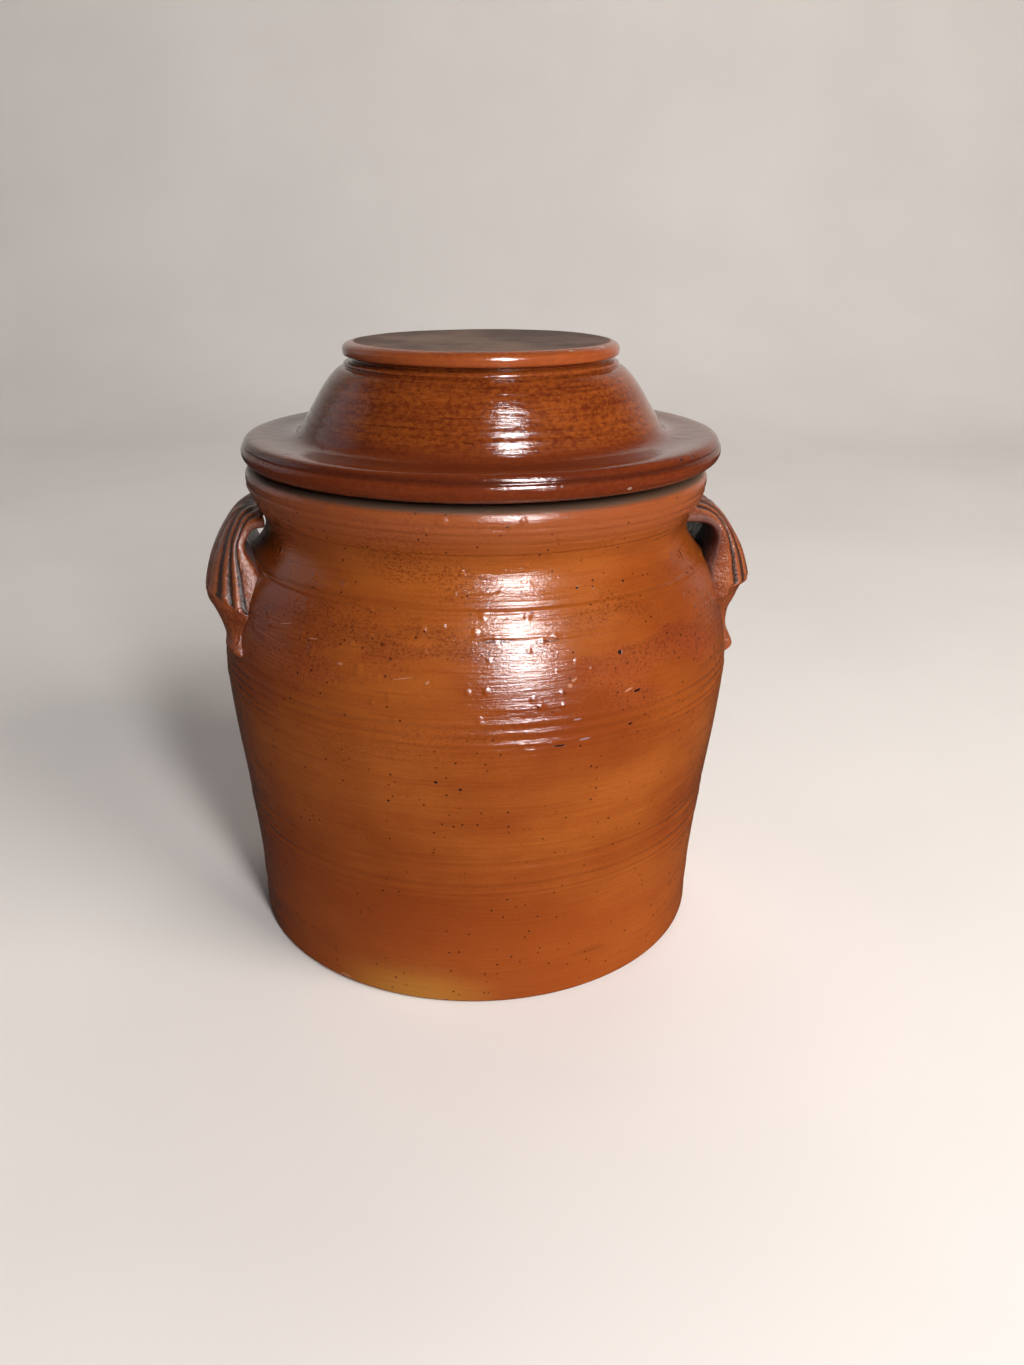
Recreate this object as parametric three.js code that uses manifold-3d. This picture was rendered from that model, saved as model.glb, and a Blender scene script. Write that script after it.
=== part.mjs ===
// Lidded stoneware butter crock: a thrown pot, two pulled strap handles and a thrown lid.
// Millimetres, +Z up, origin at the centre of the crock's underside, handles towards -X and +X.
import * as THREE from 'three';
import { mergeVertices } from 'three/addons/utils/BufferGeometryUtils.js';
import { ParametricGeometry } from 'three/addons/geometries/ParametricGeometry.js';
import Module from 'manifold-3d';

// ---- Driving dimensions -------------------------------------------------------------------
const TURN_SEGMENTS = 60; // facets round every thrown piece
const ARC_STEPS = 4; // facets along a rounded corner of a profile
const CLEARANCE = 0.3; // between pieces that touch

// Crock
const FOOT_RADIUS = 108.5;
const FOOT_BEVEL = 2.2;
const BELLY_RADIUS = 118.6;
const BELLY_HEIGHT = 132;
const SHOULDER_RADIUS = 104.2;
const SHOULDER_HEIGHT = 180.5;
const NECK_RADIUS = 97;
const NECK_HEIGHT = 195;
const RIM_RADIUS = 104.3;
const RIM_HEIGHT = 214;
const CROCK_HEIGHT = 220.4;
const MOUTH_RADIUS = 93;
const LIP_WIDTH = 5; // flat ring round the mouth that the lid rests on
const WALL = 8;
const FLOOR = 10;
const OUTER_STEPS = 22;
const INNER_STEPS = 16;

// Lid
const LID_TOP = 273;
const DISC_RADIUS = 60.8;
const DISC_GROOVE_RADIUS = 56.4;
const DOME_TOP_RADIUS = 62;
const DOME_TOP = 261.4;
const DOME_FOOT_RADIUS = 82;
const DOME_STEPS = 9;
const FLANGE_TOP = 232.6;
const FLANGE_RADIUS = 107.2;
const FLANGE_UNDERSIDE = CROCK_HEIGHT + CLEARANCE;
const LID_WALL = 8;
const SPIGOT_RADIUS = MOUTH_RADIUS - 3.5; // the lid sits loosely in the mouth
const SPIGOT_THICKNESS = 7;
const SPIGOT_DEPTH = 7;

// Handles. Each was pulled and pressed on by hand, so each has its own place and shape.
// azimuth: where the middle of the strap is, in degrees; lean: how far it turns on its way down;
// front: 1 if the front of the pot is at a larger azimuth, -1 if it is at a smaller one;
// reach: radius at the fold; fold, tail: heights of the fold and of the tail's end;
// thickens: share of the strap's length where it starts to grow from its neck depth to its bow depth;
// standoff: how far the pressed tail stands out beyond the belly.
const HANDLES = [
  {
    name: 'handle_left',
    azimuth: 198.6, lean: 18, front: 1,
    reach: 125.2, fold: 166.5, tail: 141.5, thickens: 0.235, standoff: 1.5,
  },
  {
    name: 'handle_right',
    azimuth: -0.4, lean: 2, front: -1,
    reach: 131, fold: 162, tail: 124.5, thickens: 0.21, standoff: 3.6,
  },
];
const HANDLE_TOP = 202;
const BOW_START_RADIUS = 104;
const STRAP_WIDTH = 66;
const TAIL_WIDTH = 20;
const SET_BACK = 14; // how far the full width lies towards the back of the pot
const NECK_DEPTH = 8; // leaves the finger loop open below the rim
const BOW_DEPTH = 26;
const TAIL_DEPTH = 8;
const THICKENING = 0.27; // this and the next two are shares of the strap's length
const NARROWING = { from: 0.62, over: 0.25 };
const TURNING = { from: 0, over: 0.4 };
const EDGE_FULLNESS = 0.64; // 1 is an ellipse, less is squarer
const INNER_FULLNESS = 0.45; // the side towards the pot has flatter flanks
const STRAP_SLICES = 28;
const STRAP_STACKS = 26;

// ---- Shared helpers -----------------------------------------------------------------------
const wasm = await Module();
wasm.setup();

function toSolid(geometry) {
  const bare = geometry.clone();
  bare.deleteAttribute('normal');
  bare.deleteAttribute('uv');
  const merged = mergeVertices(bare);
  const corners = Array.from(merged.index.array);
  const faces = [];
  for (let i = 0; i < corners.length; i += 3) {
    const [a, b, c] = corners.slice(i, i + 3);
    if (a !== b && b !== c && c !== a) {
      faces.push(a, b, c);
    }
  }
  return new wasm.Manifold(new wasm.Mesh({
    numProp: 3,
    vertProperties: new Float32Array(merged.attributes.position.array),
    triVerts: new Uint32Array(faces),
  }));
}

function toGeometry(solid) {
  const mesh = solid.getMesh();
  const geometry = new THREE.BufferGeometry();
  geometry.setAttribute('position', new THREE.BufferAttribute(mesh.vertProperties, 3));
  geometry.setIndex(new THREE.BufferAttribute(mesh.triVerts, 1));
  geometry.computeVertexNormals();
  return geometry;
}

// A closed outline of [radius, height] points, thrown round the vertical axis.
function thrown(outline) {
  const points = outline.map(([radius, height]) => new THREE.Vector2(radius, height));
  const geometry = new THREE.LatheGeometry(points, TURN_SEGMENTS);
  geometry.rotateX(Math.PI / 2);
  return geometry;
}

function clay(color, roughness) {
  return new THREE.MeshStandardMaterial({ color, roughness, metalness: 0 });
}

function named(name, geometry, material) {
  const mesh = new THREE.Mesh(geometry, material);
  mesh.name = name;
  return mesh;
}

function smoothCurve(points) {
  return new THREE.SplineCurve(points.map(([radius, height]) => new THREE.Vector2(radius, height)));
}

// Quarter-round from one point to another, bulging towards the corner point between them.
function rounded(start, corner, end) {
  const bend = new THREE.QuadraticBezierCurve(
    new THREE.Vector2(...start),
    new THREE.Vector2(...corner),
    new THREE.Vector2(...end),
  );
  return bend.getPoints(ARC_STEPS).map((point) => [point.x, point.y]);
}

// ---- Crock --------------------------------------------------------------------------------
// Outside of the wall from the foot to the widest part of the rim.
const outerWall = smoothCurve([
  [FOOT_RADIUS, FOOT_BEVEL],
  [FOOT_RADIUS + 0.8, 30],
  [FOOT_RADIUS + 4.4, 70],
  [BELLY_RADIUS - 1.6, BELLY_HEIGHT - 26],
  [BELLY_RADIUS, BELLY_HEIGHT],
  [BELLY_RADIUS - 2.6, BELLY_HEIGHT + 20],
  [SHOULDER_RADIUS + 5.2, SHOULDER_HEIGHT - 9.5],
  [SHOULDER_RADIUS, SHOULDER_HEIGHT],
  [NECK_RADIUS + 1, NECK_HEIGHT - 5.5],
  [NECK_RADIUS + 0.2, NECK_HEIGHT + 2.5],
  [RIM_RADIUS - 2, RIM_HEIGHT - 7],
  [RIM_RADIUS, RIM_HEIGHT],
]);

// The outside from the axis underneath to the lip, moved outwards by growth.
function crockOutside(growth) {
  const wall = outerWall.getSpacedPoints(OUTER_STEPS).map((point) => [point.x + growth, point.y]);
  const lip = rounded(
    [RIM_RADIUS + growth, RIM_HEIGHT],
    [RIM_RADIUS + growth, CROCK_HEIGHT + growth],
    [MOUTH_RADIUS + LIP_WIDTH + growth, CROCK_HEIGHT + growth],
  );
  return [
    [0, -growth],
    [FOOT_RADIUS - FOOT_BEVEL + growth, -growth],
    ...wall,
    ...lip.slice(1),
  ];
}

// The inside from the lip down to the axis on the floor.
function crockInside() {
  const mouth = [
    [MOUTH_RADIUS + 1.2, CROCK_HEIGHT - 1],
    [MOUTH_RADIUS, RIM_HEIGHT],
  ];
  const wall = outerWall.getSpacedPoints(INNER_STEPS)
    .filter((point) => point.y > FLOOR + WALL && point.y < RIM_HEIGHT - WALL)
    .map((point) => [point.x - WALL, point.y])
    .reverse();
  const floorCorner = rounded(
    [FOOT_RADIUS - WALL, FLOOR + WALL],
    [FOOT_RADIUS - WALL, FLOOR],
    [FOOT_RADIUS - 2 * WALL, FLOOR],
  );
  return [...mouth, ...wall, ...floorCorner, [0, FLOOR]];
}

function makeCrockBody() {
  return named('crock_body', thrown([...crockOutside(0), ...crockInside()]), clay(0xa8561f, 0.45));
}

// ---- Handles ------------------------------------------------------------------------------
function blend(start, end, share) {
  return THREE.MathUtils.lerp(start, end, THREE.MathUtils.smoothstep(share, 0, 1));
}

function progress(along, { from, over }) {
  return (along - from) / over;
}

// The line down the middle of the strap's outer face: out from the neck in a bow to the fold,
// then in to the tail that was pressed on to the belly.
function crownLine({ reach, fold, tail, standoff }) {
  const out = (share) => THREE.MathUtils.lerp(BOW_START_RADIUS, reach, share);
  const toFold = (share) => THREE.MathUtils.lerp(HANDLE_TOP, fold, share);
  const toTail = (share) => THREE.MathUtils.lerp(fold, tail, share);
  const pressed = BELLY_RADIUS + standoff;
  return smoothCurve([
    [out(-0.3), HANDLE_TOP],
    [out(0.05), toFold(0.01)],
    [out(0.33), toFold(0.1)],
    [out(0.63), toFold(0.35)],
    [out(0.86), toFold(0.64)],
    [reach, fold],
    [out(0.9), toTail(0.21)],
    [pressed + 0.6, toTail(0.43)],
    [pressed - 0.4, toTail(0.62)],
    [pressed, toTail(0.85)],
    [BELLY_RADIUS - 4, tail],
  ]);
}

// A pulled strap, rounded across and closed to a point at both ends, which lie in the wall.
// Its depth is measured downwards where it leaves the neck and towards the pot further down.
function makeStrap(handle) {
  const line = crownLine(handle);
  const place = (around, along, target) => {
    const crown = line.getPoint(along);
    const isEnd = along === 0 || along === 1;
    const size = isEnd ? 0 : 0.5;
    const thickening = { from: handle.thickens, over: THICKENING };
    const bowDepth = blend(NECK_DEPTH, BOW_DEPTH, progress(along, thickening));
    const depth = blend(bowDepth, TAIL_DEPTH, progress(along, NARROWING));
    const width = blend(STRAP_WIDTH, TAIL_WIDTH, progress(along, NARROWING));
    const back = blend(SET_BACK, 0, progress(along, NARROWING));
    const angle = -2 * Math.PI * around;
    const sine = Math.sin(angle);
    const cosine = Math.cos(angle);
    const across = size * width * Math.sign(sine) * Math.abs(sine) ** EDGE_FULLNESS;
    const inward = size * depth * (cosine > 0 ? 1 - cosine : 1 + (-cosine) ** INNER_FULLNESS);
    const dip = blend(Math.PI / 2, 0, progress(along, TURNING));
    const radius = crown.x - inward * Math.cos(dip);
    const height = crown.y - inward * Math.sin(dip);
    const middle = THREE.MathUtils.degToRad(handle.azimuth + handle.lean * (along - 0.5));
    const turn = middle + (across - handle.front * back) / radius;
    target.set(radius * Math.cos(turn), radius * Math.sin(turn), height);
  };
  return toSolid(new ParametricGeometry(place, STRAP_SLICES, STRAP_STACKS));
}

function makeHandle(handle) {
  const top = [0, CROCK_HEIGHT + CLEARANCE];
  const potWithClearance = toSolid(thrown([...crockOutside(CLEARANCE), top]));
  const strap = makeStrap(handle).subtract(potWithClearance);
  return named(handle.name, toGeometry(strap), clay(0x9c5527, 0.4));
}

// ---- Lid ----------------------------------------------------------------------------------
// The outside from the axis on top to the bottom of the flange's edge.
function lidOutside() {
  const disc = rounded(
    [DISC_RADIUS - 1.2, LID_TOP],
    [DISC_RADIUS + 0.2, LID_TOP],
    [DISC_RADIUS, LID_TOP - 3],
  );
  const groove = [
    [DISC_RADIUS - 1.8, LID_TOP - 6],
    [DISC_GROOVE_RADIUS, LID_TOP - 7.6],
    [DOME_TOP_RADIUS - 2.6, DOME_TOP + 1.2],
  ];
  const dome = smoothCurve([
    [DOME_TOP_RADIUS, DOME_TOP],
    [DOME_TOP_RADIUS + 8, DOME_TOP - 8.5],
    [DOME_FOOT_RADIUS - 7.5, FLANGE_TOP + 13],
    [DOME_FOOT_RADIUS - 2.5, FLANGE_TOP + 3.6],
    [DOME_FOOT_RADIUS + 2, FLANGE_TOP],
  ]).getSpacedPoints(DOME_STEPS).map((point) => [point.x, point.y]);
  const flange = [
    [DOME_FOOT_RADIUS + 8, FLANGE_TOP - 0.2],
    [FLANGE_RADIUS - 8, FLANGE_TOP + 0.4],
  ];
  const edge = rounded(
    [FLANGE_RADIUS - 3.6, FLANGE_TOP],
    [FLANGE_RADIUS + 1.2, FLANGE_TOP - 2],
    [FLANGE_RADIUS - 0.6, FLANGE_UNDERSIDE + 4.4],
  );
  return [[0, LID_TOP], ...disc, ...groove, ...dome, ...flange, ...edge];
}

// The underside from the flange's edge, round the spigot ring and up into the hollow.
function lidUnderside() {
  const seat = [
    [FLANGE_RADIUS - 3, FLANGE_UNDERSIDE + 2.2],
    [FLANGE_RADIUS - 7, FLANGE_UNDERSIDE],
    [SPIGOT_RADIUS, FLANGE_UNDERSIDE],
  ];
  const spigot = [
    [SPIGOT_RADIUS - 1, FLANGE_UNDERSIDE - SPIGOT_DEPTH],
    [SPIGOT_RADIUS - SPIGOT_THICKNESS, FLANGE_UNDERSIDE - SPIGOT_DEPTH],
  ];
  const hollow = [
    [SPIGOT_RADIUS - SPIGOT_THICKNESS - 2, FLANGE_UNDERSIDE + 2],
    [DOME_FOOT_RADIUS - LID_WALL - 3, FLANGE_TOP + 2],
    [DOME_TOP_RADIUS - LID_WALL + 5, DOME_TOP - 10],
    [DOME_TOP_RADIUS - LID_WALL - 2, DOME_TOP - 3],
    [DOME_TOP_RADIUS - 2 * LID_WALL, LID_TOP - LID_WALL - 1],
    [0, LID_TOP - LID_WALL],
  ];
  return [...seat, ...spigot, ...hollow];
}

function makeLid() {
  return named('lid', thrown([...lidOutside(), ...lidUnderside()].reverse()), clay(0x7a3b1a, 0.3));
}

// ---- Assembly -----------------------------------------------------------------------------
const crock = new THREE.Group();
crock.add(makeCrockBody());
for (const handle of HANDLES) {
  crock.add(makeHandle(handle));
}
crock.add(makeLid());

export default crock;
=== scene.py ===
# Lidded stoneware butter crock: looks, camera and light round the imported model.
# Lengths in the tables are millimetres; MM turns them into metres. Angles round the pot are
# measured from the front (-Y), positive towards +X.
from math import cos, pi, radians, sin, tau

import bpy
import numpy as np
from mathutils import Matrix, Vector


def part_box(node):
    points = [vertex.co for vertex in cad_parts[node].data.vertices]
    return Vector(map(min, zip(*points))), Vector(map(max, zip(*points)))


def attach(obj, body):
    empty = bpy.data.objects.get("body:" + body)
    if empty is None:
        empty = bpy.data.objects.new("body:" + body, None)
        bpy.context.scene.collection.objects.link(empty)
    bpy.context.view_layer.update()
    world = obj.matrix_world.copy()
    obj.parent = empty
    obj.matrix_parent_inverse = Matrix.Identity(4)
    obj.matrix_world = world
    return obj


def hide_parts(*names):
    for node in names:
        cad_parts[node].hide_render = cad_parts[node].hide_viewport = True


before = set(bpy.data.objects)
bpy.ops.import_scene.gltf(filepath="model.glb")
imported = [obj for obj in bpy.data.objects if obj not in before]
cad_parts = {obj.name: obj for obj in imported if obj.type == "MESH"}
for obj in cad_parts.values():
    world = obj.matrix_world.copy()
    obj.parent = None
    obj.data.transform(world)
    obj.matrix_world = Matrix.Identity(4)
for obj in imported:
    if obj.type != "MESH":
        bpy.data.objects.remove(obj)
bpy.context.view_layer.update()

MM = 0.001

# ---- Driving dimensions, from the CAD frame -----------------------------------------------
CROCK_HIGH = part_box("crock_body")[1] / MM
LID_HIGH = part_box("lid")[1] / MM
CROCK_HEIGHT = CROCK_HIGH.z
ROOM = 0.4  # kept free inside the CAD box for hand-thrown unevenness
BELLY_RADIUS = CROCK_HIGH.y - ROOM
LID_TOP = LID_HIGH.z - ROOM
FLANGE_RADIUS = LID_HIGH.y

SEGMENTS = 288  # round every thrown piece
PROFILE_STEP = 0.6  # along a thrown profile


# ---- Curves and noise ---------------------------------------------------------------------
def smoothstep(value):
    value = np.clip(value, 0, 1)
    return value * value * (3 - 2 * value)


def eased(value, start, over):
    """Rises smoothly from 0 at start to 1 at start + over."""
    return smoothstep((value - start) / over)


def lerp(start, end, share):
    return start + (end - start) * share


def spline(points, shares):
    """Points along a uniform Catmull-Rom curve through the given points."""
    points = np.array(points, float)
    spot = np.clip(np.asarray(shares), 0, 1) * (len(points) - 1)
    first = np.clip(np.floor(spot).astype(int), 0, len(points) - 2)
    t = (spot - first)[:, None]
    before = points[np.maximum(first - 1, 0)]
    start = points[first]
    end = points[first + 1]
    after = points[np.minimum(first + 2, len(points) - 1)]
    slope_in = (end - before) / 2
    slope_out = (after - start) / 2
    return (
        (2 * start - 2 * end + slope_in + slope_out) * t ** 3
        + (3 * end - 3 * start - 2 * slope_in - slope_out) * t ** 2
        + slope_in * t + start
    )


def resampled(points, step):
    """The polyline through points, cut again into even steps."""
    points = np.array(points, float)
    lengths = np.linalg.norm(np.diff(points, axis=0), axis=1)
    run = np.concatenate([[0], np.cumsum(lengths)])
    marks = np.linspace(0, run[-1], max(2, round(run[-1] / step)) + 1)
    return np.stack([np.interp(marks, run, points[:, axis]) for axis in (0, 1)], 1)


def curve(points, step=PROFILE_STEP):
    return resampled(spline(points, np.linspace(0, 1, 40 * len(points))), step)


def wander(angle, seed, waves=(1, 2, 3, 5, 8)):
    """A smooth random value from about -1 to 1 that closes on itself round the pot."""
    draw = np.random.default_rng(seed)
    total = np.zeros_like(np.asarray(angle, float))
    for wave in waves:
        size = draw.uniform(0.3, 1) / wave ** 0.7
        total += size * np.sin(wave * angle + draw.uniform(0, tau))
    return total / 1.5


def bell(distance, width):
    return np.exp(-(distance / width) ** 2)


# ---- Mesh building ------------------------------------------------------------------------
def mesh_object(name, vertices, faces, material):
    mesh = bpy.data.meshes.new(name)
    mesh.from_pydata((np.asarray(vertices) * MM).tolist(), [], faces)
    mesh.polygons.foreach_set("use_smooth", [True] * len(mesh.polygons))
    mesh.materials.append(material)
    mesh.update()
    piece = bpy.data.objects.new(name, mesh)
    bpy.context.scene.collection.objects.link(piece)
    return piece


def capped_grid(rings, first_pole, last_pole):
    """Vertices and faces of a closed skin over rings of points, with a pole at each end."""
    count, around = rings.shape[:2]
    vertices = np.concatenate([rings.reshape(-1, 3), [first_pole], [last_pole]])
    faces = []
    for ring in range(count - 1):
        low = ring * around
        high = low + around
        for spot in range(around):
            beside = (spot + 1) % around
            faces.append((low + spot, low + beside, high + beside, high + spot))
    start, end = count * around, count * around + 1
    last = (count - 1) * around
    for spot in range(around):
        beside = (spot + 1) % around
        faces.append((start, beside, spot))
        faces.append((end, last + spot, last + beside))
    return vertices, faces


def thrown(name, profile, relief, material):
    """Turns a profile that starts and ends on the axis, pushed out along its normal by relief."""
    profile = np.array(profile, float)
    along = np.gradient(profile, axis=0)
    normal = np.stack([along[:, 1], -along[:, 0]], 1)
    normal /= np.linalg.norm(normal, axis=1, keepdims=True)
    angles = np.linspace(0, tau, SEGMENTS, endpoint=False)
    ring_profile, ring_normal = profile[1:-1], normal[1:-1]
    push = relief(ring_profile[:, :1], ring_profile[:, 1:], angles[None, :])
    push = np.broadcast_to(push, (len(ring_profile), SEGMENTS))
    radius = ring_profile[:, :1] + ring_normal[:, :1] * push
    height = ring_profile[:, 1:] + ring_normal[:, 1:] * push
    rings = np.stack([radius * np.sin(angles), -radius * np.cos(angles), height], -1)
    poles = [(0, 0, profile[0, 1]), (0, 0, profile[-1, 1])]
    vertices, faces = capped_grid(rings, *poles)
    return mesh_object(name, vertices, faces, material)


# ---- Node materials -----------------------------------------------------------------------
def srgb(code):
    """A web colour as linear RGBA."""
    channels = [int(code[i:i + 2], 16) / 255 for i in (0, 2, 4)]
    return [((c + 0.055) / 1.055) ** 2.4 if c > 0.04 else c / 12.92 for c in channels] + [1.0]


MARK_REACH = 25  # how deep a mark goes, so that it follows the curved wall, in mm


class Glaze:
    """A Principled material with short ways to add procedural nodes."""

    def __init__(self, name, specular=0.35):
        self.material = bpy.data.materials.new(name)
        self.material.use_nodes = True
        self.tree = self.material.node_tree
        self.surface = self.tree.nodes["Principled BSDF"]
        self.surface.inputs["Specular IOR Level"].default_value = specular
        self.where = self.node("ShaderNodeTexCoord").outputs["Object"]

    def node(self, kind, **settings):
        made = self.tree.nodes.new(kind)
        for key, value in settings.items():
            setattr(made, key, value)
        return made

    def feed(self, socket, value):
        if isinstance(value, bpy.types.NodeSocket):
            self.tree.links.new(value, socket)
        else:
            socket.default_value = value

    def math(self, operation, first, second=0.0):
        made = self.node("ShaderNodeMath", operation=operation)
        self.feed(made.inputs[0], first)
        self.feed(made.inputs[1], second)
        return made.outputs[0]

    def vector(self, operation, first, second=(0, 0, 0)):
        made = self.node("ShaderNodeVectorMath", operation=operation)
        self.feed(made.inputs[0], first)
        self.feed(made.inputs[1], second)
        return made.outputs["Value" if operation == "LENGTH" else "Vector"]

    def stretched(self, scale):
        """Object position multiplied along each axis."""
        return self.vector("MULTIPLY", self.where, scale)

    def noise(self, scale, stretch=(1, 1, 1), detail=3.0, roughness=0.55, shift=0.0):
        made = self.node("ShaderNodeTexNoise", noise_dimensions="4D")
        self.feed(made.inputs["Vector"], self.stretched(stretch))
        made.inputs["W"].default_value = shift
        made.inputs["Scale"].default_value = scale
        made.inputs["Detail"].default_value = detail
        made.inputs["Roughness"].default_value = roughness
        return made.outputs["Fac"]

    def cells(self, scale, feature="F1"):
        """Distance from the middle of the nearest of many scattered cells."""
        made = self.node("ShaderNodeTexVoronoi", feature=feature)
        self.feed(made.inputs["Vector"], self.where)
        made.inputs["Scale"].default_value = scale
        return made.outputs["Distance"]

    def span(self, value, low, high, to_low=0.0, to_high=1.0):
        """Eases from to_low, where value is low, to to_high, where it is high."""
        made = self.node("ShaderNodeMapRange", interpolation_type="SMOOTHSTEP")
        self.feed(made.inputs["Value"], value)
        self.feed(made.inputs["From Min"], low)
        self.feed(made.inputs["From Max"], high)
        self.feed(made.inputs["To Min"], to_low)
        self.feed(made.inputs["To Max"], to_high)
        return made.outputs["Result"]

    def mix(self, share, first, second):
        made = self.node("ShaderNodeMix", data_type="RGBA")
        self.feed(made.inputs["Factor"], share)
        self.feed(made.inputs["A"], first)
        self.feed(made.inputs["B"], second)
        return made.outputs["Result"]

    def height(self):
        """Height above the crock's underside in millimetres."""
        made = self.node("ShaderNodeSeparateXYZ")
        self.feed(made.inputs[0], self.where)
        return self.math("DIVIDE", made.outputs["Z"], MM)

    def near(self, value, centre, reach):
        """1 at the centre, fading to 0 at reach on either side."""
        away = self.math("ABSOLUTE", self.math("SUBTRACT", value, centre))
        return self.span(away, reach, 0)

    def times(self, *masks):
        total = masks[0]
        for mask in masks[1:]:
            total = self.math("MULTIPLY", total, mask)
        return total

    def plus(self, *values):
        total = values[0]
        for value in values[1:]:
            total = self.math("ADD", total, value)
        return total

    def stored(self, name):
        """A value that the mesh keeps for each of its points."""
        return self.node("ShaderNodeAttribute", attribute_name=name).outputs["Fac"]

    def ridges(self, scale, along=30.0, **settings):
        """Noise drawn out into rings round the pot."""
        return self.noise(scale, stretch=(1, 1, along), **settings)

    def mark(self, angle, height, length, breadth, radius=112, ragged=0.35, slope=0.0, soft=0.3):
        """1 inside a small mark on the surface, such as a blemish or a patch of painted shade, 0
        outside; sizes in millimetres.
        """
        turn = radians(angle)
        centre = Vector((radius * sin(turn), -radius * cos(turn), height)) * MM
        offset = self.vector("SUBTRACT", self.where, centre)
        turned = self.node("ShaderNodeVectorRotate", rotation_type="EULER_XYZ", invert=True)
        self.feed(turned.inputs["Vector"], offset)
        turned.inputs["Rotation"].default_value = (0, radians(-slope), turn)
        size = (2 / (length * MM), 1 / (MARK_REACH * MM), 2 / (breadth * MM))
        scaled = self.vector("MULTIPLY", turned.outputs[0], size)
        away = self.vector("LENGTH", scaled)
        rough = self.noise(1 / (breadth * MM), detail=2.0, shift=angle)
        edge = self.math("MULTIPLY_ADD", rough, ragged * 2)
        edge.node.inputs[2].default_value = -ragged
        return self.span(self.math("ADD", away, edge), 1.0, 1.0 - soft)

    def any_of(self, masks):
        total = masks[0]
        for mask in masks[1:]:
            total = self.math("MAXIMUM", total, mask)
        return total

    def blemishes(self, places, ragged=0.35):
        """Marks from a table of angle, height, length, breadth and slope."""
        return self.any_of([
            self.mark(*place[:4], slope=place[4], ragged=ragged) for place in places
        ])

    def bump(self, height, depth, after=None):
        """Bump whose full swing is depth millimetres."""
        made = self.node("ShaderNodeBump")
        made.inputs["Strength"].default_value = 1.0
        made.inputs["Distance"].default_value = depth * MM
        self.feed(made.inputs["Height"], height)
        if after is not None:
            self.feed(made.inputs["Normal"], after)
        return made.outputs["Normal"]

    def finish(self, colour, roughness, normal):
        self.feed(self.surface.inputs["Base Color"], colour)
        self.feed(self.surface.inputs["Roughness"], roughness)
        self.feed(self.surface.inputs["Normal"], normal)
        return self.material


# Small blemishes on the crock: angle, height, length, breadth and slope.
IRON_SPOTS = [
    (-3.2, 110.6, 1.6, 1.4, 0), (-17.9, 102.5, 1.3, 1.3, 0), (30.4, 161.8, 2.6, 1.8, 20),
    (23.4, 186.6, 1.6, 1.2, 0), (36.2, 186.2, 1.3, 1.3, 0), (33.5, 145.5, 4.5, 1.1, 8),
    (31.8, 132, 3.2, 0.8, 6), (16, 128.4, 6, 0.9, 0), (-8, 113.5, 1.8, 1.4, 0),
]
PALE_CHIPS = [
    (31.3, 146.5, 5, 1.2, 10), (-28.2, 157.8, 3, 1, 0), (-14.5, 155.8, 9, 0.5, 12),
    (-9.6, 155, 2.4, 1.4, 40), (19.4, 154.4, 3, 1.2, 30), (18.3, 152.4, 2.6, 2, 0),
    (23, 158, 1.4, 1.2, 0), (-45, 166.8, 9, 0.5, 14), (-36, 164.6, 5, 0.5, 6),
    (-33.3, 2.6, 7, 1.6, 0),
]
BLUE_DASHES = [(19.6, 138.7, 4, 0.9, 4), (21.3, 129.8, 5, 1.2, 4)]
RUN_CREASE = [(4, 170.4, 13, 1.6, 0), (14, 169.6, 12, 1.2, 0)]  # dark glaze in the run's crease


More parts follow.
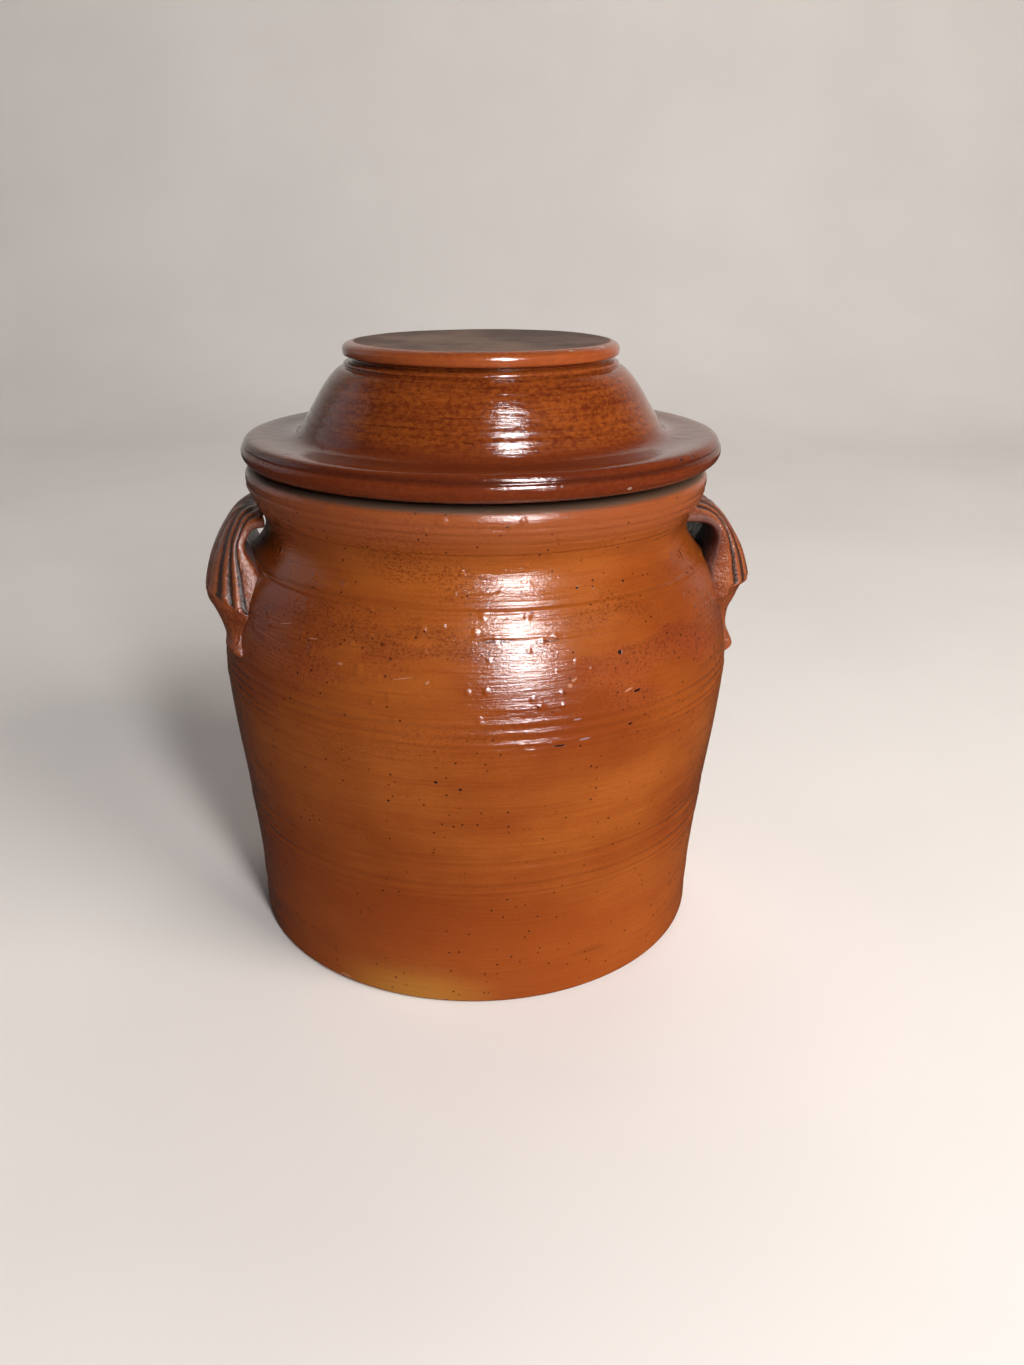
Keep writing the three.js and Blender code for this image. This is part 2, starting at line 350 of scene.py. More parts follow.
def crock_glaze():
    glaze = Glaze("crock_glaze", specular=0.42)
    height = glaze.height()
    upper = glaze.span(height, 112, 150)

    cloud = glaze.noise(8, stretch=(1, 1, 1.7), detail=4, shift=1.0)
    bands = glaze.ridges(9, along=9, detail=3, shift=2.0)
    streak = glaze.ridges(30, along=30, detail=4, shift=4.0)
    grain = glaze.noise(800, stretch=(1, 1, 1.5), detail=3, roughness=0.6, shift=3.0)
    colour = glaze.mix(glaze.span(cloud, 0.36, 0.66), srgb("753512"), srgb("924e1c"))
    colour = glaze.mix(glaze.span(bands, 0.42, 0.68, 0, 0.25), colour, srgb("7a3212"))
    colour = glaze.mix(glaze.span(streak, 0.48, 0.72, 0, 0.3), colour, srgb("6d2a0d"))
    patches = glaze.span(glaze.noise(22, stretch=(1, 1, 2.5), detail=2, shift=8.0), 0.45, 0.62)
    patchy = glaze.plus(0.25, glaze.times(upper, patches))
    mottle = glaze.times(glaze.span(grain, 0.46, 0.66), patchy)
    colour = glaze.mix(glaze.times(mottle, 0.55), colour, srgb("4e1d0a"))
    bloom = glaze.times(glaze.near(height, 155, 30), patches)
    colour = glaze.mix(glaze.times(bloom, 0.14), colour, srgb("9c4a34"))

    rim = glaze.span(height, 199, 212)
    colour = glaze.mix(glaze.times(rim, 0.6), colour, srgb("85462a"))
    low = glaze.span(height, 78, 22)
    colour = glaze.mix(glaze.times(low, 0.5), colour, srgb("934515"))
    ochre = glaze.mark(-16, 0, 112, 46, soft=0.95, ragged=0.12)
    behind = glaze.mark(155, 0, 90, 40, soft=0.95, ragged=0.12)
    colour = glaze.mix(glaze.times(glaze.any_of([ochre, behind]), 0.75), colour, srgb("a8742c"))

    shadow = glaze.times(glaze.near(height, 166, 16), glaze.span(patches, 0.3, 1), grain)
    colour = glaze.mix(glaze.times(shadow, 0.5), colour, srgb("43180a"))
    # Painted shade: a soft dark patch low on the wall near the foot, a little right of the front.
    foot_shade = glaze.mark(27.7, 19.6, 26, 5, soft=0.9)
    colour = glaze.mix(glaze.times(foot_shade, 0.25), colour, srgb("43180a"))
    dust = glaze.times(glaze.mark(-15, 143.6, 60, 6, soft=0.95, slope=-2), patches)
    colour = glaze.mix(glaze.times(dust, 0.25), colour, srgb("a88478"))

    specks = glaze.cells(230)
    chosen = glaze.span(glaze.noise(55, detail=2, shift=5.0), 0.4, 0.54)
    fleck = glaze.times(glaze.span(specks, 0.16, 0.06), chosen)
    colour = glaze.mix(glaze.times(fleck, 0.85), colour, srgb("260f08"))
    spots = glaze.blemishes(IRON_SPOTS)
    colour = glaze.mix(spots, colour, srgb("231310"))
    crease = glaze.blemishes(RUN_CREASE, ragged=0.7)
    colour = glaze.mix(glaze.times(crease, 0.6), colour, srgb("3a1a0e"))
    chips = glaze.blemishes(PALE_CHIPS, ragged=0.6)
    colour = glaze.mix(glaze.times(chips, 0.55), colour, srgb("b98465"))
    dashes = glaze.blemishes(BLUE_DASHES, ragged=0.6)
    colour = glaze.mix(glaze.times(dashes, 0.6), colour, srgb("93888f"))

    bare = glaze.span(height, 217.4, 219.4)
    colour = glaze.mix(bare, colour, srgb("4e3a2c"))

    peel = glaze.noise(850, detail=3, roughness=0.6, shift=6.0)
    lumps = glaze.cells(150, feature="SMOOTH_F1")
    pimples = glaze.times(glaze.span(lumps, 0.3, 0.05), chosen, upper)
    lines = glaze.ridges(60, along=12, detail=4, roughness=0.6, shift=7.0)
    normal = glaze.bump(lines, 0.4)
    normal = glaze.bump(glaze.times(peel, glaze.plus(0.3, upper)), 0.1, after=normal)
    normal = glaze.bump(glaze.plus(pimples, chips, glaze.times(spots, -0.5)), 0.3, after=normal)
    roughness = glaze.span(cloud, 0.3, 0.7, 0.13, 0.18)
    roughness = glaze.plus(roughness, glaze.times(bare, 0.35), glaze.times(low, 0.08))
    return glaze.finish(colour, roughness, normal)


def handle_glaze():
    glaze = Glaze("handle_glaze", specular=0.5)
    groove = glaze.stored("groove")
    rib = glaze.stored("rib")
    inner_side_shade = glaze.stored("inner_side_shade")
    flank_shade = glaze.stored("flank_shade")
    cloud = glaze.noise(40, detail=4, shift=11.0)
    grain = glaze.noise(700, detail=4, roughness=0.65, shift=12.0)
    colour = glaze.mix(glaze.span(cloud, 0.35, 0.65), srgb("6e3218"), srgb("8f4822"))
    colour = glaze.mix(glaze.span(grain, 0.45, 0.68, 0, 0.5), colour, srgb("3a180c"))
    # Painted shade on the front flank of each strap, darker on the right handle.
    colour = glaze.mix(glaze.times(flank_shade, 0.6), colour, srgb("3d1c10"))
    worn = glaze.times(rib, glaze.span(cloud, 0.3, 0.6, 0.3, 1.0))
    colour = glaze.mix(glaze.times(worn, 0.6), colour, srgb("94512c"))
    ragged = glaze.plus(groove, glaze.times(glaze.plus(grain, -0.5), 1.3))
    colour = glaze.mix(glaze.span(ragged, 0.3, 0.8, 0, 0.9), colour, srgb("24120b"))
    # Painted shade on the side of each strap that faces the pot, in the recess by the neck.
    colour = glaze.mix(glaze.times(inner_side_shade, 0.85), colour, srgb("3f2a20"))
    lumps = glaze.noise(330, stretch=(1, 1, 0.5), detail=4, roughness=0.6, shift=13.0)
    normal = glaze.bump(lumps, 1.0)
    normal = glaze.bump(grain, 0.5, after=normal)
    roughness = glaze.span(cloud, 0.3, 0.7, 0.18, 0.32)
    roughness = glaze.plus(roughness, glaze.times(groove, 0.2), glaze.span(flank_shade, 0, 0.3, 0, 0.45))
    return glaze.finish(colour, roughness, normal)


# Chips in the top of the lid's flange: angle, length and breadth.
FLANGE_CHIPS = [
    (-80.5, 2, 1.6), (-70.2, 2.4, 1.6), (-50.6, 1.8, 1.4), (49.2, 2, 1.5), (54.3, 2.2, 1.6),
    (74, 2.4, 1.8), (80.9, 2, 1.5),
]
FLANGE_CRACK = (-80, -84, -88, -92, -97, -102)  # angles of the pieces of one long crack


def lid_glaze():
    glaze = Glaze("lid_glaze", specular=0.5)
    height = glaze.height()
    cloud = glaze.noise(14, stretch=(1, 1, 2), detail=3, shift=20.0)
    streak = glaze.ridges(18, along=22, detail=5, roughness=0.6, shift=21.0)
    mottle = glaze.noise(420, stretch=(1, 1, 1.6), detail=4, roughness=0.65, shift=22.0)
    both = glaze.plus(glaze.times(mottle, 0.5), glaze.times(streak, 0.3), glaze.times(cloud, 0.2))
    colour = glaze.mix(glaze.span(both, 0.38, 0.64), srgb("551f0c"), srgb("854216"))
    dark_line = glaze.span(glaze.ridges(40, along=30, detail=3, shift=26.0), 0.56, 0.7, 0, 0.55)
    colour = glaze.mix(dark_line, colour, srgb("3a1408"))
    band = glaze.near(height, 268.5, 6)
    colour = glaze.mix(glaze.times(band, 0.7), colour, srgb("964b26"))
    flange = glaze.span(height, 240, 235)
    colour = glaze.mix(glaze.times(flange, 0.7), colour, srgb("5c2410"))
    edge = glaze.near(height, 231, 2.4)
    colour = glaze.mix(glaze.times(edge, 0.6), colour, srgb("2c1009"))
    from_axis = glaze.vector("SUBTRACT", glaze.stretched((1, 1, 0)), (LID_SHIFT * MM, 0, 0))
    radius = glaze.math("DIVIDE", glaze.vector("LENGTH", from_axis), MM)
    top = glaze.times(glaze.span(radius, 57, 55), glaze.span(height, 268, 270))
    wear = glaze.noise(28, detail=5, roughness=0.6, shift=23.0)
    dull = glaze.mix(glaze.span(wear, 0.38, 0.66), srgb("4a3426"), srgb("6e5442"))
    stain = glaze.noise(160, detail=3, shift=27.0)
    dull = glaze.mix(glaze.span(stain, 0.5, 0.7, 0, 0.4), dull, srgb("2c1f18"))
    colour = glaze.mix(top, colour, dull)

    chips = glaze.any_of([
        glaze.mark(angle, 233, length, breadth, radius=98, ragged=0.5)
        for angle, length, breadth in FLANGE_CHIPS
    ])
    crack = glaze.any_of([
        glaze.mark(angle, 233, 7, 0.9, radius=95, ragged=0.6) for angle in FLANGE_CRACK
    ])
    colour = glaze.mix(glaze.times(glaze.any_of([chips, crack]), 0.8), colour, srgb("24110b"))
    nick = glaze.mark(32.7, 226, 3, 1.6, radius=105, ragged=0.6)
    scratch = glaze.any_of([
        glaze.mark(39, 272, 9, 0.7, radius=40, ragged=0.4),
        glaze.mark(60, 272, 6, 0.6, radius=45, ragged=0.4),
    ])
    colour = glaze.mix(glaze.times(glaze.any_of([nick, scratch]), 0.7), colour, srgb("a08a78"))

    lines = glaze.ridges(70, along=12, detail=4, roughness=0.6, shift=24.0)
    peel = glaze.noise(420, detail=3, shift=25.0)
    normal = glaze.bump(lines, 0.3)
    normal = glaze.bump(peel, 0.1, after=normal)
    normal = glaze.bump(glaze.times(glaze.any_of([chips, crack, nick]), -1.0), 0.4, after=normal)
    roughness = glaze.plus(glaze.span(cloud, 0.3, 0.7, 0.1, 0.16), glaze.times(top, 0.75))
    return glaze.finish(colour, roughness, normal)


# ---- Crock --------------------------------------------------------------------------------
FOOT_RADIUS = BELLY_RADIUS - 10.1
NECK_RADIUS = BELLY_RADIUS - 21.6
RIM_RADIUS = BELLY_RADIUS - 14.3
MOUTH_RADIUS = RIM_RADIUS - 11.3
WALL = 8
FLOOR = 10

WALL_CURVE = [
    (FOOT_RADIUS, 2.2),
    (FOOT_RADIUS + 0.8, 30),
    (FOOT_RADIUS + 4.4, 70),
    (BELLY_RADIUS - 1.6, 106),
    (BELLY_RADIUS, 132),
    (BELLY_RADIUS - 2.6, 152),
    (BELLY_RADIUS - 9.2, 171),
    (BELLY_RADIUS - 14.4, 180.5),
    (NECK_RADIUS + 1, 189.5),
    (NECK_RADIUS + 0.2, 197.5),
    (RIM_RADIUS - 2, 207),
    (RIM_RADIUS, 214),
]

# Rings cut or raised by the potter's fingers and tools: height, width, swing, all in mm.
# A positive swing stands out, a negative one is a groove.
RING_STRENGTH = 1.15
RINGS = [
    (213.2, 0.7, -0.35), (211.2, 0.9, 0.35), (209.8, 0.5, -0.25), (205.7, 0.7, -0.25),
    (202.2, 0.8, 0.3), (200.9, 0.6, -0.3),
    (181.6, 0.7, -0.6), (180.2, 0.6, 0.65), (178.8, 0.6, -0.3),
    (145.2, 0.7, 0.25), (142, 0.6, -0.15), (139.2, 0.8, 0.35), (137, 0.7, -0.25), (135, 0.7, 0.3),
    (132.6, 0.9, -0.3), (130.6, 0.6, 0.3), (129.2, 0.5, -0.2), (127.4, 0.7, 0.3), (126, 0.6, -0.2),
    (76, 0.6, -0.15), (72.5, 1.4, -0.3), (69.8, 0.7, 0.12), (63.6, 1.1, 0.35), (61.5, 0.8, -0.2),
    (59, 0.7, 0.25), (57.6, 0.5, -0.2), (56, 0.6, 0.2), (21, 5, 0.25), (12, 3, -0.2),
]


def crock_relief(radius, height, angle):
    """Hand-thrown unevenness, tool rings and the glaze run, as outward push in millimetres."""
    outside = smoothstep((radius - NECK_RADIUS + 3) / 3) * smoothstep(height / 3)
    push = 0.35 * wander(angle, 1) * outside * np.ones_like(height)
    for number, (level, width, swing) in enumerate(RINGS):
        drift = 0.5 * wander(angle, 100 + number, waves=(1, 2, 3))
        strength = 0.75 + 0.35 * wander(angle, 200 + number)
        ring = swing * strength * bell(height - level - drift, width)
        push = push + RING_STRENGTH * outside * ring
    # A glaze run that ended in a creased edge, a little right of the front.
    degrees = np.degrees((angle + pi) % tau - pi)
    line = height - 170.3 - 0.5 * np.sin(degrees / 4) - 0.3 * np.sin(degrees / 1.7)
    run = smoothstep((degrees + 4) / 5) * smoothstep((44 - degrees) / 26)
    run = run * (0.75 + 0.25 * np.sin(degrees / 2.3))
    return push + outside * run * (0.45 * bell(line - 0.9, 0.9) - 0.55 * bell(line, 0.5))


def crock_profile():
    wall = curve(WALL_CURVE)
    lip = curve([
        (RIM_RADIUS, 214), (RIM_RADIUS - 0.2, 216.6), (RIM_RADIUS - 1.4, 218.6),
        (RIM_RADIUS - 3.4, 219.8), (RIM_RADIUS - 6, CROCK_HEIGHT),
        (RIM_RADIUS - 9, CROCK_HEIGHT - 0.1), (MOUTH_RADIUS + 0.4, CROCK_HEIGHT - 2),
        (MOUTH_RADIUS, 214),
    ])
    inner_wall = [(radius - WALL, height) for radius, height in WALL_CURVE[1:10]]
    inside = curve(
        [(MOUTH_RADIUS, 214), (MOUTH_RADIUS - 0.6, 207)] + inner_wall[::-1]
        + [(FOOT_RADIUS - WALL - 1, 18), (FOOT_RADIUS - 2 * WALL, FLOOR + 0.6),
           (FOOT_RADIUS - 3 * WALL, FLOOR), (40, FLOOR + 0.4), (0, FLOOR + 0.8)],
        step=2.0,
    )
    foot = curve([(FOOT_RADIUS - 3.2, 0), (FOOT_RADIUS - 1.4, 0.3), (FOOT_RADIUS - 0.3, 1.1),
                  (FOOT_RADIUS, 2.2)])
    base = resampled([
        (0, 0.8), (FOOT_RADIUS - 8, 0.8), (FOOT_RADIUS - 6.5, 0), (FOOT_RADIUS - 3.2, 0),
    ], 3)
    return np.concatenate([base[:-1], foot[:-1], wall[:-1], lip[:-1], inside])


def make_crock():
    piece = thrown("crock_pot", crock_profile(), crock_relief, crock_glaze())
    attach(piece, "crock")
    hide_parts("crock_body")


# ---- Handles ------------------------------------------------------------------------------
HANDLE_TOP = 202
BOW_START_RADIUS = 104
STRAP_WIDTH = 66
TAIL_WIDTH = 18
SET_BACK = 14  # how far the full width lies towards the back of the pot
NECK_DEPTH = 8
BOW_DEPTH = 26
TAIL_DEPTH = 8
# Where along the strap, from 0 to 1, each change starts and how long it takes.
THICKENING = 0.27
THINNING = (0.62, 0.25)
NARROWING = (0.55, 0.3)
TURNING = (0, 0.4)
UNTWISTING = (0.72, 0.1)
# Shape of the section: 1 is an ellipse, less is squarer.
EDGE_FULLNESS = 0.64
INNER_FULLNESS = 0.45
FACET_FULLNESS = 0.5
# azimuth: where the middle of the strap is, in degrees from +X; lean: how far it turns on its way
# down; reach: radius at the fold; fold, tail: heights of the fold and of the tail's end;
# thickens: share of the length where it starts to grow to its bow depth; standoff and knob: how
# far the pressed tail and its tip stand out from the belly; front: which way round the front is;
# ribs: their angles round the section from the crown; rib_ends: where along the strap the outer
# and the inner rib end; facet: 1 for a tail cut flat; twist: how far that facet is turned to the
# front, in degrees; shaded: how dark the painted shade on the flank is.
HANDLES = [
    {
        "name": "handle_left", "azimuth": 198.6, "lean": 18, "front": 1,
        "reach": 125.2, "fold": 166.5, "tail": 141.5,
        "thickens": 0.235, "standoff": 1.5, "knob": 0.5,
        "ribs": (51, 73, 95), "rib_ends": (0.48, 0.62), "facet": 0, "twist": 0, "shaded": 0.45,
    },
    {
        "name": "handle_right", "azimuth": -0.4, "lean": 2, "front": -1,
        "reach": 131, "fold": 162, "tail": 124.5,
        "thickens": 0.21, "standoff": 3.6, "knob": 1.8,
        "ribs": (37, 60, 81), "rib_ends": (0.465, 0.465), "facet": 1, "twist": 30, "shaded": 0.9,
    },
]
RIB_SWING = 36  # degrees nearer the crown at the neck than further down
# Grooves over the rest of the outer face: how far across, from -1 at the back to 1 at the front.
OUTER_GROOVES = (0.35, 0.11, -0.13, -0.37, -0.61, -0.83)
GROOVE_DEPTH = 1.3
CREASE_HEIGHT = 0.5
FACET_SLANT = 0.22  # how much further along the facet starts on the flank than on the crown
STRAP_ROUND = 160
STRAP_ALONG = 220


def crown_line(handle):
    """The line down the strap's outer face, from the neck over the fold to the tail."""
    reach, fold, tail = handle["reach"] - ROOM, handle["fold"], handle["tail"]
    pressed = BELLY_RADIUS + handle["standoff"]
    bow = [(-0.3, 0), (0.05, 0.01), (0.33, 0.1), (0.63, 0.35), (0.86, 0.64), (1, 1)]
    points = [
        (lerp(BOW_START_RADIUS, reach, out), lerp(HANDLE_TOP, fold, down)) for out, down in bow
    ]
    points.append((lerp(BOW_START_RADIUS, reach, 0.9), lerp(fold, tail, 0.21)))
    for extra, down in ((0.6, 0.43), (-0.4, 0.62), (handle["knob"], 0.82)):
        points.append((pressed + extra, lerp(fold, tail, down)))
    points.append((BELLY_RADIUS - 4, tail))
    return points


def signed_power(value, power):
    return np.sign(value) * np.abs(value) ** power


def strap_pattern(handle, along, turn):
    """How far each point is groove, rib or arris, painted flank shade, end crease, past the ribs
    and cut flat.
    """
    ribs = handle["ribs"]
    pitch = (ribs[-1] - ribs[0]) / (len(ribs) - 1)
    flank_start = ribs[-1] + pitch * 0.7
    angle = np.degrees(turn) + RIB_SWING * (1 - eased(along, 0, 0.36))
    end = lerp(*handle["rib_ends"], eased(angle, ribs[0], ribs[-1] - ribs[0]))
    end = end + handle["facet"] * FACET_SLANT * np.clip((angle - ribs[-1]) / 40, 0, 1)
    ended = eased(along, end, 0.02)
    cut = handle["facet"] * eased(along, end, 0.05)

    groove = np.zeros_like(angle)
    for number in range(len(ribs)):
        edge = ribs[0] - pitch / 2 + pitch * number
        groove = np.maximum(groove, bell(angle - edge, pitch * 0.31))
    outer = np.cos(turn) > 0
    across = signed_power(np.sin(turn), EDGE_FULLNESS)
    for place in OUTER_GROOVES:
        groove = np.maximum(groove, outer * bell(across - place, 0.05))
    shown = eased(along, 0.02, 0.06) * (1 - ended)

    band = eased(angle, -88, 8) * eased(-angle, -flank_start, 8)
    arris = bell(along - end - 0.01, 0.012) * eased(angle, ribs[-1] - pitch, 20)
    rib = np.maximum((1 - groove) * band * shown, handle["facet"] * arris)
    crease = eased(angle, -100, 20) * eased(-angle, -140, 20)
    crease = crease * bell(along - end, 0.012) * (1 - handle["facet"])
    # Painted shade on the front flank, as strong as the handle's shaded value; the same mask also
    # makes the flank matte.
    flank_shade = handle["shaded"] * eased(angle, flank_start, 8) * (1 - cut)
    return groove * shown, rib, flank_shade, crease, ended, cut


def strap_rings(handle, along, turn, groove, crease, ended, cut):
    """Rings of points round the strap, one for each place along it."""
    crown = spline(crown_line(handle), along[:, 0])
    narrowing = eased(along, *NARROWING)
    bow_depth = lerp(NECK_DEPTH, BOW_DEPTH, eased(along, handle["thickens"], THICKENING))
    depth = lerp(bow_depth, TAIL_DEPTH, eased(along, *THINNING))
    width = lerp(STRAP_WIDTH, TAIL_WIDTH, narrowing)
    closing = np.sqrt(np.clip(np.minimum(along / 0.01, (1 - along) / 0.05), 0, 1))
    sine, cosine = np.sin(turn), np.cos(turn)
    fullness = lerp(EDGE_FULLNESS, FACET_FULLNESS, cut)
    squareness = lerp(np.where(cosine > 0, 1.0, INNER_FULLNESS), FACET_FULLNESS, cut)
    across = width / 2 * signed_power(sine, fullness) * closing
    centred = depth / 2 * signed_power(cosine, squareness) * closing

    lumps = 0.18 * wander(turn * 2 + along * 9, 77) * wander(along * 40 + turn, 78)
    past_ribs = 0.35 * ended * (1 - handle["facet"])
    sink = (GROOVE_DEPTH * groove - CREASE_HEIGHT * crease + past_ribs + lumps) * closing
    length = np.sqrt((across / width * 2) ** 2 + (centred / depth * 2) ** 2) + 1e-6
    across = across - sink * (across / width * 2) / length
    centred = centred - sink * (centred / depth * 2) / length

    twist = np.radians(handle["twist"]) * cut * (1 - eased(along, *UNTWISTING))
    turned_across = across * np.cos(twist) + centred * np.sin(twist)
    turned_centred = centred * np.cos(twist) - across * np.sin(twist)
    inward = np.maximum(depth / 2 - turned_centred, 0)
    dip = lerp(pi / 2, 0, eased(along, *TURNING))
    radius = crown[:, :1] - inward * np.cos(dip)
    height = crown[:, 1:] - inward * np.sin(dip)
    middle = np.radians(handle["azimuth"] + handle["lean"] * (along - 0.5))
    set_back = SET_BACK * (1 - narrowing)
    azimuth = middle + handle["front"] * (turned_across - set_back) / radius
    return np.stack([radius * np.cos(azimuth), radius * np.sin(azimuth), height], -1)


def make_handle(handle, material):
    along = np.linspace(0.004, 0.996, STRAP_ALONG)[:, None]
    turn = np.linspace(-pi, pi, STRAP_ROUND, endpoint=False)[None, :]
    groove, rib, flank_shade, crease, ended, cut = strap_pattern(handle, along, turn)
    rings = strap_rings(handle, along, turn, groove, crease, ended, cut)
    # Painted shade on the side of the strap that faces the pot, fading out further down the strap.
    inner_side_shade = eased(np.abs(np.degrees(turn)), 128, 14) * (1 - eased(along, 0.6, 0.1))
    stored = {"groove": groove, "rib": rib, "flank_shade": flank_shade, "inner_side_shade": inner_side_shade}
    if handle["front"] > 0:
        rings = rings[:, ::-1]
        stored = {name: values[:, ::-1] for name, values in stored.items()}
    vertices, faces = capped_grid(rings, rings[0].mean(0), rings[-1].mean(0))
    piece = mesh_object("strap_" + handle["name"], vertices, faces, material)
    for name, values in stored.items():
        layer = piece.data.attributes.new(name, "FLOAT", "POINT")
        layer.data.foreach_set("value", np.append(values.ravel(), [0, 0]).astype(np.float32))
    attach(piece, "crock")
    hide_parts(handle["name"])


# ---- Lid ----------------------------------------------------------------------------------
DISC_RADIUS = 60.8
SEAT_HEIGHT = CROCK_HEIGHT + 0.3
SPIGOT_RADIUS = MOUTH_RADIUS - 3.5
LID_SHIFT = 2.2  # the lid sits a little to the right, in mm
LID_TILT_RIGHT = radians(0.65)
LID_TILT_FRONT = radians(0.35)

LID_RINGS = [
    (268.2, 0.4, -0.12), (256.8, 0.6, 0.12), (253.5, 0.5, -0.1), (247.5, 0.5, 0.1),
    (243.8, 0.7, 0.18), (241.9, 0.6, -0.15), (240, 0.6, 0.2), (238.2, 0.5, -0.12),
]


def lid_relief(radius, height, angle):
    push = 0.3 * wander(angle, 31) * np.ones_like(height)
    for number, (level, width, swing) in enumerate(LID_RINGS):
        drift = 0.4 * wander(angle, 300 + number, waves=(1, 2, 3))
        strength = 0.75 + 0.35 * wander(angle, 330 + number)
        push = push + swing * strength * bell(height - level - drift, width)
    return push * smoothstep((radius - 50) / 8)


def lid_profile():
    top = LID_TOP - 0.6
    disc = resampled([(0, top), (48, top), (DISC_RADIUS - 6, top + 0.1)], 2.5)
    edge = curve([
        (DISC_RADIUS - 6, top + 0.1), (DISC_RADIUS - 3.2, top - 0.3), (DISC_RADIUS - 1, top - 1.3),
        (DISC_RADIUS, top - 2.8),
        (DISC_RADIUS - 0.1, 267.4), (DISC_RADIUS - 0.6, 266.3), (57.6, 265.6), (56.3, 264.9),
        (57.2, 264.2), (59, 263.9), (60.2, 263.4), (60.6, 262.7), (60.3, 262.1),
        (60.1, 261.7), (61.2, 261.4), (62.6, 260.9),
    ], step=0.3)
    dome = curve([
        (62.6, 260.9), (65.4, 258.6), (70, 253), (74.6, 245.5), (78.4, 239.4), (80, 236.6),
        (81.4, 234.6), (83.6, 233.1), (87, 232.4), (92, 232.4), (99, 233),
        (FLANGE_RADIUS - 3.8, 233),
        (FLANGE_RADIUS - 1.9, 231.9), (FLANGE_RADIUS - 1.1, 230.4), (FLANGE_RADIUS - 1.3, 229.5),
        (FLANGE_RADIUS - 0.3, 228.8), (FLANGE_RADIUS, 227.2), (FLANGE_RADIUS - 0.5, 225),
        (FLANGE_RADIUS - 1.8, 223.4), (FLANGE_RADIUS - 4.2, 222), (FLANGE_RADIUS - 8, 221.2),
    ])
    under = curve([
        (FLANGE_RADIUS - 8, 221.2), (SPIGOT_RADIUS + 2, 221), (SPIGOT_RADIUS, 220),
        (SPIGOT_RADIUS - 0.8, 215), (SPIGOT_RADIUS - 2.4, 213.9),
        (SPIGOT_RADIUS - 5, 213.9), (SPIGOT_RADIUS - 6.6, 215.4),
        (SPIGOT_RADIUS - 8.5, 222), (72, 234), (59.5, 251), (51, 260), (42, 264), (20, 265),
        (0, 265),
    ], step=1.5)
    return np.concatenate([disc[:-1], edge[:-1], dome[:-1], under])


def make_lid():
    # The profile runs from the top down, so it is turned over to keep the outside out.
    profile = lid_profile()[::-1]
    piece = thrown("crock_lid", profile, lid_relief, lid_glaze())
    tilt = Matrix.Rotation(-LID_TILT_RIGHT, 4, "Y") @ Matrix.Rotation(-LID_TILT_FRONT, 4, "X")
    pivot = Vector((0, 0, SEAT_HEIGHT)) * MM
    shift = Vector((LID_SHIFT, 0, 0)) * MM
    piece.data.transform(Matrix.Translation(pivot + shift) @ tilt @ Matrix.Translation(-pivot))
    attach(piece, "lid")
    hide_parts("lid")


# ---- Camera, light and floor --------------------------------------------------------------
def make_camera():
    pitch, yaw, roll = radians(22.15), radians(1.94), radians(0.80)
    forward = Vector((sin(yaw) * cos(pitch), cos(yaw) * cos(pitch), -sin(pitch)))
    level = Vector((cos(yaw), -sin(yaw), 0))
    up = level.cross(forward)
    right = cos(roll) * level + sin(roll) * up
    up = cos(roll) * up - sin(roll) * level
    data = bpy.data.cameras.new("camera")
    data.sensor_width = 36
    data.lens = 29.54
    data.clip_start = 0.01
    camera = bpy.data.objects.new("camera", data)
    camera.matrix_world = Matrix((right, up, -forward)).transposed().to_4x4()
    camera.location = (0, -0.513, 0.318)
    bpy.context.scene.collection.objects.link(camera)
    bpy.context.scene.camera = camera


def area_light(name, angle, elevation, distance, size, watts, colour, lights=True, mirrored=True):
    """A soft box facing the crock that lights it, shows in its reflections, or both."""
    target = Vector((0, 0, 0.13))
    turn, rise = radians(angle), radians(elevation)
    toward = Vector((sin(turn) * cos(rise), -cos(turn) * cos(rise), sin(rise)))
    data = bpy.data.lights.new(name, "AREA")
    data.shape = "RECTANGLE"
    data.size, data.size_y = size
    data.energy = watts
    data.color = colour
    light = bpy.data.objects.new(name, data)
    light.location = target + toward * distance
    light.rotation_euler = (-toward).to_track_quat("-Z", "Y").to_euler()
    light.visible_camera = False
    light.visible_diffuse = lights
    light.visible_glossy = mirrored
    bpy.context.scene.collection.objects.link(light)


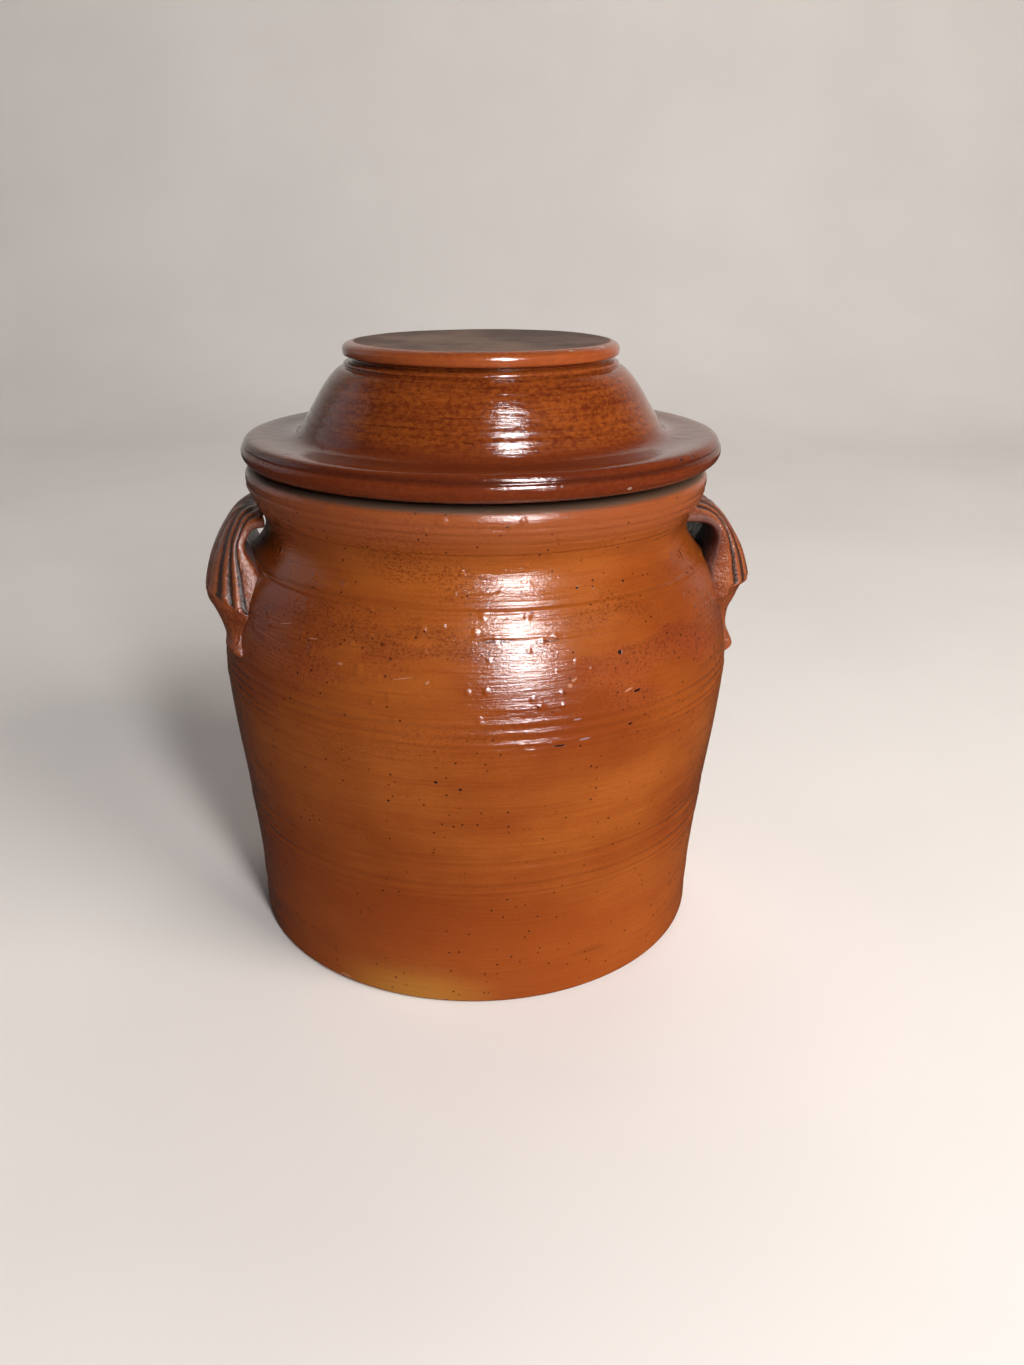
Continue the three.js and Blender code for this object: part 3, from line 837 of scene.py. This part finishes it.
def make_lights():
    area_light("window", 21, 27, 1.8, (0.22, 1.1), 26, (1.0, 0.98, 0.97))
    area_light("window_shine", 20, 31, 1.79, (0.18, 1.1), 60, (0.98, 0.97, 1.0), lights=False)
    area_light("warm_fill", 55, 30, 2.2, (1.2, 1.2), 41, (1.0, 0.93, 0.86), mirrored=False)
    area_light("cool_side", -110, 20, 2.2, (1.4, 1.4), 2.5, (0.86, 0.88, 1.0))
    area_light("back_fill", 165, 42, 2.4, (1.6, 1.6), 16, (1.0, 0.97, 0.94), mirrored=False)
    world = bpy.data.worlds.new("room")
    world.use_nodes = True
    tree = world.node_tree
    background = tree.nodes["Background"]
    background.inputs["Color"].default_value = (0.82, 0.8, 0.79, 1)
    # Little light comes from the room, but behind the floor it looks as pale as the backdrop.
    seen = tree.nodes.new("ShaderNodeLightPath").outputs["Is Camera Ray"]
    strength = tree.nodes.new("ShaderNodeMapRange")
    strength.inputs["To Min"].default_value = 0.045
    strength.inputs["To Max"].default_value = 0.6
    tree.links.new(seen, strength.inputs["Value"])
    tree.links.new(strength.outputs["Result"], background.inputs["Strength"])
    bpy.context.scene.world = world


def floor_paint():
    glaze = Glaze("floor_paint", specular=0.2)
    soft = glaze.noise(3, detail=3, shift=41.0)
    colour = glaze.mix(glaze.span(soft, 0.3, 0.7), srgb("e4e0dd"), srgb("eae6e3"))
    return glaze.finish(colour, 0.75, glaze.bump(glaze.noise(400, shift=42.0), 0.05))


def make_floor():
    """A pale floor that curves up into a backdrop. Only the backdrop shows in reflections."""
    bend, back, wide, tall = 0.6, 1.3, 4.0, 3.0
    rise = [(back + bend * sin(a), bend - bend * cos(a)) for a in np.linspace(0, pi / 2, 17)]
    paint = floor_paint()
    lines = {"floor": [(-4.0, 0.0), rise[0]], "backdrop": rise + [(back + bend, tall)]}
    for name, line in lines.items():
        corners = [(side * wide, depth, up) for depth, up in line for side in (-1, 1)]
        vertices = np.array(corners) / MM
        faces = [(2 * i, 2 * i + 1, 2 * i + 3, 2 * i + 2) for i in range(len(line) - 1)]
        sheet = mesh_object(name, vertices, faces, paint)
        sheet.visible_glossy = name == "backdrop"


make_camera()
make_lights()
make_floor()
make_crock()
strap_glaze = handle_glaze()
for handle in HANDLES:
    make_handle(handle, strap_glaze)
make_lid()

bpy.context.scene.view_settings.view_transform = "Standard"
